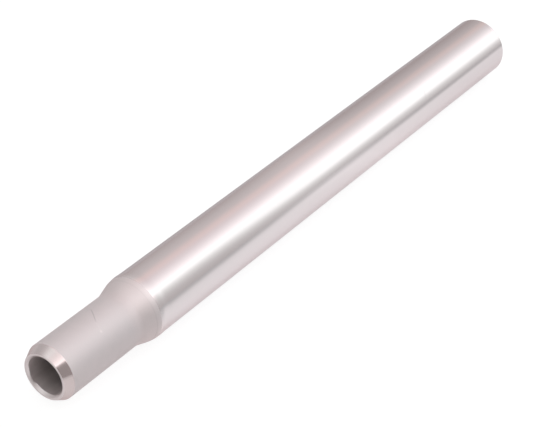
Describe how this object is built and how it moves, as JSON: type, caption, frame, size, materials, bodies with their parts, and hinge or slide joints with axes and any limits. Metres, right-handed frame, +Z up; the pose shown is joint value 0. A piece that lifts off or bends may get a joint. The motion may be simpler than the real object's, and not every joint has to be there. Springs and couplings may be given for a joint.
{
  "type": "bicycle seatpost",
  "caption": "Straight aluminium bicycle seatpost: a hollow polished tube, swaged down at one end to a satin neck that takes a saddle clamp.",
  "frame": {"origin": "middle of the footprint of the post as it lies on its side, on the surface it rests on", "axes": "+X along the post's axis, from the neck towards the end that goes into the frame; +Z up"},
  "size_m": [0.3, 0.0268, 0.0268],
  "materials": {
    "aluminium": "polished tube, satin as-swaged neck and shoulder, turned lead-in at the mouth"
  },
  "bodies": {
    "root": {"seatpost": "aluminium"}
  },
  "joints": []
}
